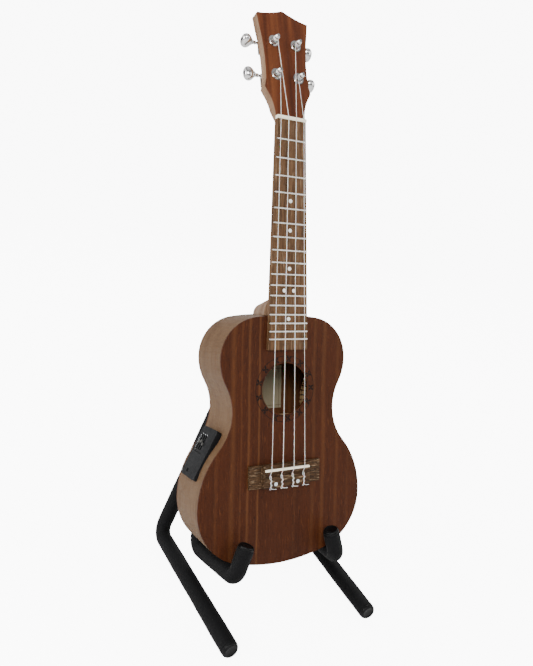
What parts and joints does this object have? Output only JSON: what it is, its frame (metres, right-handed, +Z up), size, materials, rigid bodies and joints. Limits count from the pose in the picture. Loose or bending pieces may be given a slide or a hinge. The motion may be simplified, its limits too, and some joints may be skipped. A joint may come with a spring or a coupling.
{
  "type": "concert ukulele on folding stand",
  "caption": "Electro-acoustic concert ukulele with geared tuners and side preamp, resting on a foam-covered tubular folding floor stand.",
  "frame": {"origin": "on the floor, at the centre of the assembly's bounding box", "axes": "+Z up, the instrument's face looks along -Y and up, +X to the right as seen from the front"},
  "size_m": [0.2068, 0.2558, 0.6397],
  "materials": {
    "steel_black": "satin black powder coat",
    "foam_black": "matt closed-cell foam",
    "cap_black": "matt moulded plastic",
    "chrome": "polished",
    "zinc": "zinc plated",
    "mahogany": "open-pore satin lacquer, ribbon grain",
    "sapele_side": "open-pore matt lacquer",
    "neck_wood": "matt lacquer",
    "pale_wood": "raw",
    "walnut": "oiled, dark streaks",
    "bone": "semi-gloss",
    "pearl": "pearly",
    "nylon": "clear",
    "fret_wire": "polished crown",
    "panel_plastic": "fine texture",
    "knob_plastic": "smooth",
    "paper": "plain paper",
    "cell_steel": "bright",
    "piezo": "thin strip",
    "lead": "sleeved wire"
  },
  "bodies": {
    "stand_hub": {"hinge_bolt": "zinc", "back_pad": "foam_black", "hinge_knob": "cap_black"},
    "left_half": {"left_frame": "steel_black", "left_leg_foam": "foam_black", "left_arm_foam": "foam_black", "left_end_caps": "cap_black"},
    "right_half": {"right_frame": "steel_black", "right_leg_foam": "foam_black", "right_arm_foam": "foam_black", "right_end_caps": "cap_black"},
    "button_1": {"tuner_button_1": "chrome"},
    "post_1": {"string_post_1": "chrome", "string_winding_1": "nylon"},
    "button_2": {"tuner_button_2": "chrome"},
    "post_2": {"string_post_2": "chrome", "string_winding_2": "nylon"},
    "button_3": {"tuner_button_3": "chrome"},
    "post_3": {"string_post_3": "chrome", "string_winding_3": "nylon"},
    "button_4": {"tuner_button_4": "chrome"},
    "post_4": {"string_post_4": "chrome", "string_winding_4": "nylon"},
    "volume": {"volume_slider": "knob_plastic"},
    "treble": {"treble_slider": "knob_plastic"},
    "bass": {"bass_slider": "knob_plastic"},
    "door": {"battery_door": "panel_plastic"},
    "ukulele": {"soundboard": "mahogany", "back_plate": "sapele_side", "left_ribs": "sapele_side", "right_ribs": "sapele_side", "front_lining": "pale_wood", "back_lining": "pale_wood", "neck_block": "pale_wood", "tail_block": "pale_wood", "front_braces": "pale_wood", "back_braces": "pale_wood", "bridge_plate": "pale_wood", "maker_label": "paper", "neck": "neck_wood", "fingerboard": "walnut", "frets": "fret_wire", "fret_markers": "pearl", "nut": "bone", "bridge": "walnut", "bridge_dots": "pearl", "saddle": "bone", "piezo_strip": "piezo", "string_1": "nylon", "string_2": "nylon", "string_3": "nylon", "string_4": "nylon", "tuner_bushings": "chrome", "tuner_housings": "chrome", "preamp_bezel": "panel_plastic", "preamp_box": "panel_plastic", "preamp_screws": "panel_plastic", "coin_cells": "cell_steel", "output_jack": "chrome", "signal_leads": "lead"}
  },
  "joints": [
    {"name": "left_fold", "type": "hinge", "parent": "stand_hub", "child": "left_half", "pos_m": [0, 0.06282, 0.22252], "axis": [0, -0.9648, 0.2629], "range_deg": [0, 12.5]},
    {"name": "right_fold", "type": "hinge", "parent": "stand_hub", "child": "right_half", "pos_m": [0, 0.06282, 0.22252], "axis": [0, -0.9648, 0.2629], "range_deg": [-12.5, 0]},
    {"name": "lift_off", "type": "slide", "parent": "stand_hub", "child": "ukulele", "axis": [0, 0.2629, 0.9648], "range_m": [0, 0.25]},
    {"name": "button_turn_1", "type": "hinge", "parent": "ukulele", "child": "button_1", "pos_m": [-0.0138, 0.1002, 0.56712], "axis": [-1, 0, 0], "continuous": true},
    {"name": "post_turn_1", "type": "hinge", "parent": "ukulele", "child": "post_1", "pos_m": [-0.0138, 0.08257, 0.5698], "axis": [0, -0.8969, 0.4421], "continuous": true},
    {"name": "button_turn_2", "type": "hinge", "parent": "ukulele", "child": "button_2", "pos_m": [-0.0138, 0.11736, 0.60193], "axis": [-1, 0, 0], "continuous": true},
    {"name": "post_turn_2", "type": "hinge", "parent": "ukulele", "child": "post_2", "pos_m": [-0.0138, 0.09972, 0.6046], "axis": [0, -0.8969, 0.4421], "continuous": true},
    {"name": "button_turn_3", "type": "hinge", "parent": "ukulele", "child": "button_3", "pos_m": [0.0138, 0.11736, 0.60193], "axis": [1, 0, 0], "continuous": true},
    {"name": "post_turn_3", "type": "hinge", "parent": "ukulele", "child": "post_3", "pos_m": [0.0138, 0.09972, 0.6046], "axis": [0, -0.8969, 0.4421], "continuous": true},
    {"name": "button_turn_4", "type": "hinge", "parent": "ukulele", "child": "button_4", "pos_m": [0.0138, 0.1002, 0.56712], "axis": [1, 0, 0], "continuous": true},
    {"name": "post_turn_4", "type": "hinge", "parent": "ukulele", "child": "post_4", "pos_m": [0.0138, 0.08257, 0.5698], "axis": [0, -0.8969, 0.4421], "continuous": true},
    {"name": "volume_slide", "type": "slide", "parent": "ukulele", "child": "volume", "axis": [-0.4886, -0.2293, -0.8418], "range_m": [-0.0055, 0.0045]},
    {"name": "treble_slide", "type": "slide", "parent": "ukulele", "child": "treble", "axis": [-0.4886, -0.2293, -0.8418], "range_m": [-0.004, 0.006]},
    {"name": "bass_slide", "type": "slide", "parent": "ukulele", "child": "bass", "axis": [-0.4886, -0.2293, -0.8418], "range_m": [-0.0065, 0.0035]},
    {"name": "door_hinge", "type": "hinge", "parent": "ukulele", "child": "door", "pos_m": [-0.08843, 0.0056, 0.16011], "axis": [0, 0.9648, -0.2629], "range_deg": [0, 95]}
  ],
  "couplings": [
    {"joint": "right_fold", "follows": "left_fold", "ratio": -1},
    {"joint": "post_turn_1", "follows": "button_turn_1", "ratio": 0.071429},
    {"joint": "post_turn_2", "follows": "button_turn_2", "ratio": 0.071429},
    {"joint": "post_turn_3", "follows": "button_turn_3", "ratio": 0.071429},
    {"joint": "post_turn_4", "follows": "button_turn_4", "ratio": 0.071429}
  ]
}
